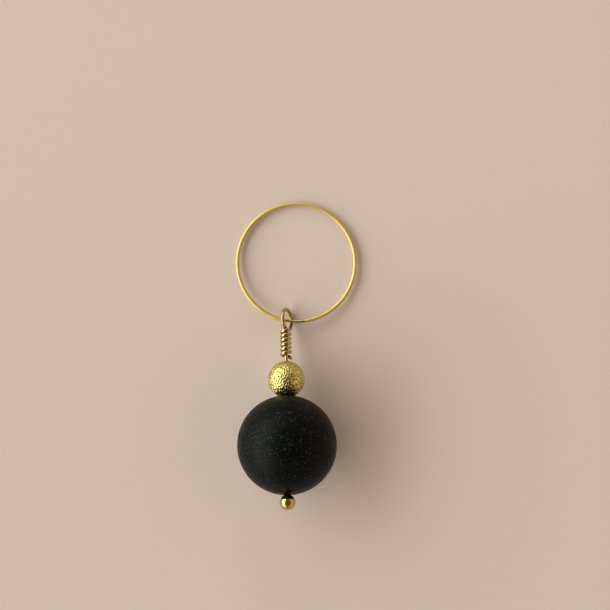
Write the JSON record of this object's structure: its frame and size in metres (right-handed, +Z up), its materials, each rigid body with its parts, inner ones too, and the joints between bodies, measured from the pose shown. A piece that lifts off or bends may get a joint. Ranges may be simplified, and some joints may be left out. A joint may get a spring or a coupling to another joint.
{
  "type": "stitch marker",
  "caption": "Knitting stitch marker: a thin closed wire hoop with a swinging charm of a matte stone bead, a small sanded metal bead and a polished ball on a wrapped head pin.",
  "frame": {"origin": "on the surface that the marker lies on, in the middle of its box seen from above", "axes": "+Z up from the surface; +Y from the stone bead towards the hoop, along the marker's length; +X to the right, seen from above with the hoop away from the viewer"},
  "size_m": [0.02, 0.0496, 0.016],
  "materials": {
    "hoop_gold": "thin gold-filled tube, satin polish",
    "pin_gold": "bright gold-filled wire",
    "ball_gold": "mirror-polished gold",
    "sanded_gold": "rough sparkling sanded gold",
    "matte_stone": "matte black, frosted"
  },
  "bodies": {
    "hoop": {"hoop_tube": "hoop_gold", "hoop_pin": "hoop_gold"},
    "charm": {"head_pin": "pin_gold", "head_ball": "ball_gold"},
    "small_bead": {"sanded_bead": "sanded_gold"},
    "large_bead": {"stone_bead": "matte_stone"}
  },
  "joints": [
    {"name": "charm_swing", "type": "hinge", "parent": "hoop", "child": "charm", "pos_m": [-0.00145, 0.0052, 0.00105], "axis": [0.9888, -0.1495, 0], "range_deg": [-138, 171]},
    {"name": "bead_slide", "type": "slide", "parent": "charm", "child": "small_bead", "axis": [-0.0133, 0.9536, -0.3009], "range_m": [-0.00022, 0.00046]},
    {"name": "stone_spin", "type": "hinge", "parent": "small_bead", "child": "large_bead", "pos_m": [-0.00147, -0.01465, 0.008], "axis": [-0.0133, 0.9536, -0.3009], "continuous": true}
  ]
}
